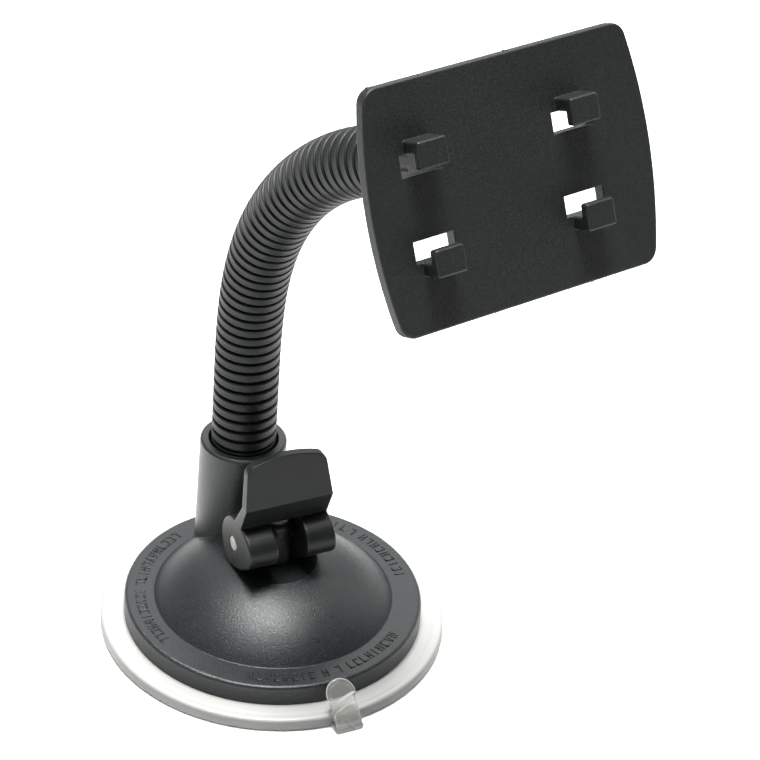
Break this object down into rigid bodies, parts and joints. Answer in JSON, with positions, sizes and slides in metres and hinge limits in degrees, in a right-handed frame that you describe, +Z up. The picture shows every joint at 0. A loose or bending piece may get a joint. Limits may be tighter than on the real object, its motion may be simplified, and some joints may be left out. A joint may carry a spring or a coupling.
{
  "type": "gooseneck suction mount for a portable navigator",
  "caption": "Windscreen holder for a navigator: lever-worked suction foot, bent corrugated gooseneck, and a flat carrier plate with L-shaped claws on a ball joint.",
  "frame": {"origin": "centre of the suction disc's flat underside", "axes": "+Z up out of the suction face, +X along the lever's pivot pin, +Y from the disc's centre to the neck socket"},
  "size_m": [0.0925, 0.1115, 0.1697],
  "materials": {
    "clear_pvc": "soft clear PVC, glossy, slightly milky",
    "shell_plastic": "fine spark-eroded grain with a soft sheen",
    "lever_plastic": "fine matt grain",
    "plate_plastic": "fine matt grain",
    "sheath_plastic": "satin, slightly shiny crowns",
    "steel": "cut and bright",
    "core_steel": "wound wire, oiled",
    "ferrule_brass": "turned",
    "acetal": "natural acetal"
  },
  "bodies": {
    "foot": {"suction_disc": "clear_pvc", "base_shell": "shell_plastic", "lower_ferrule": "ferrule_brass", "ferrule_screw": "steel", "return_spring": "steel", "neck_sheath_0": "sheath_plastic", "neck_core_0": "core_steel"},
    "plunger": {"plunger": "lever_plastic", "pivot_pin": "steel"},
    "lever": {"cam_lever": "lever_plastic"},
    "tab": {"lift_tab": "clear_pvc"},
    "neck_1": {"neck_sheath_1": "sheath_plastic", "neck_core_1": "core_steel"},
    "neck_2": {"neck_sheath_2": "sheath_plastic", "neck_core_2": "core_steel"},
    "neck_3": {"neck_sheath_3": "sheath_plastic", "neck_core_3": "core_steel"},
    "neck_4": {"neck_sheath_4": "sheath_plastic", "neck_core_4": "core_steel"},
    "neck_5": {"neck_sheath_5": "sheath_plastic", "neck_core_5": "core_steel"},
    "neck_6": {"neck_sheath_6": "sheath_plastic", "neck_core_6": "core_steel"},
    "neck_7": {"neck_sheath_7": "sheath_plastic", "neck_core_7": "core_steel", "neck_collar": "plate_plastic", "upper_ferrule": "ferrule_brass", "ball_stud": "steel"},
    "liner": {"ball_liner": "acetal"},
    "seat": {"ball_seat": "acetal"},
    "plate": {"device_plate": "plate_plastic"},
    "clamp": {"clamp_ring": "plate_plastic"}
  },
  "joints": [
    {"name": "plunger_slide", "type": "slide", "parent": "foot", "child": "plunger", "axis": [0, 0, 1], "range_m": [0, 0.0031], "deforming": ["return_spring"]},
    {"name": "lever_hinge", "type": "hinge", "parent": "plunger", "child": "lever", "pos_m": [0, 0.0003, 0.0248], "axis": [1, 0, 0], "range_deg": [0, 85]},
    {"name": "tab_flex", "type": "hinge", "parent": "foot", "child": "tab", "pos_m": [0.0005, -0.0414, 0.0015], "axis": [1, 0, 0], "range_deg": [-4, 60], "stiffness_Nm_per_rad": 0.002},
    {"name": "neck_bend_1", "type": "hinge", "parent": "foot", "child": "neck_1", "pos_m": [0, 0.0205, 0.0444], "axis": [-0.9925, 0.1219, 0], "range_deg": [-9, 12]},
    {"name": "neck_sway_2", "type": "hinge", "parent": "neck_1", "child": "neck_2", "pos_m": [0, 0.0205, 0.0604], "axis": [-0.1219, -0.9925, 0], "range_deg": [-12, 12]},
    {"name": "neck_bend_3", "type": "hinge", "parent": "neck_2", "child": "neck_3", "pos_m": [-0.00019, 0.01898, 0.0763], "axis": [-0.9604, -0.2685, -0.0746], "range_deg": [-9, 12]},
    {"name": "neck_sway_4", "type": "hinge", "parent": "neck_3", "child": "neck_4", "pos_m": [-0.00017, 0.01465, 0.09168], "axis": [0.4401, -0.837, -0.3253], "range_deg": [-12, 12]},
    {"name": "neck_bend_5", "type": "hinge", "parent": "neck_4", "child": "neck_5", "pos_m": [0.00092, 0.00777, 0.10606], "axis": [-0.9373, -0.3392, -0.08], "range_deg": [-9, 12]},
    {"name": "neck_sway_6", "type": "hinge", "parent": "neck_5", "child": "neck_6", "pos_m": [0.00325, -0.00166, 0.11873], "axis": [0.1902, -0.6962, -0.6922], "range_deg": [-12, 12]},
    {"name": "neck_bend_7", "type": "hinge", "parent": "neck_6", "child": "neck_7", "pos_m": [0.00646, -0.01353, 0.12891], "axis": [-0.965, -0.2621, -0.0016], "range_deg": [-9, 12]},
    {"name": "plate_pan", "type": "hinge", "parent": "neck_7", "child": "liner", "pos_m": [0.01466, -0.04383, 0.14306], "axis": [-0.0633, 0.3953, 0.9164], "range_deg": [-22, 22]},
    {"name": "plate_tilt", "type": "hinge", "parent": "liner", "child": "seat", "pos_m": [0.01466, -0.04383, 0.14306], "axis": [0.9874, 0.1582, 0], "range_deg": [-15, 15]},
    {"name": "plate_roll", "type": "hinge", "parent": "seat", "child": "plate", "pos_m": [0.01466, -0.04383, 0.14306], "axis": [0.1449, -0.9048, 0.4003], "range_deg": [-90, 90]},
    {"name": "clamp_turn", "type": "hinge", "parent": "plate", "child": "clamp", "pos_m": [0.01466, -0.04383, 0.14306], "axis": [0.1449, -0.9048, 0.4003], "range_deg": [0, 120]}
  ],
  "couplings": [
    {"joint": "plunger_slide", "follows": "lever_hinge", "m_per_rad": 0.00205}
  ]
}
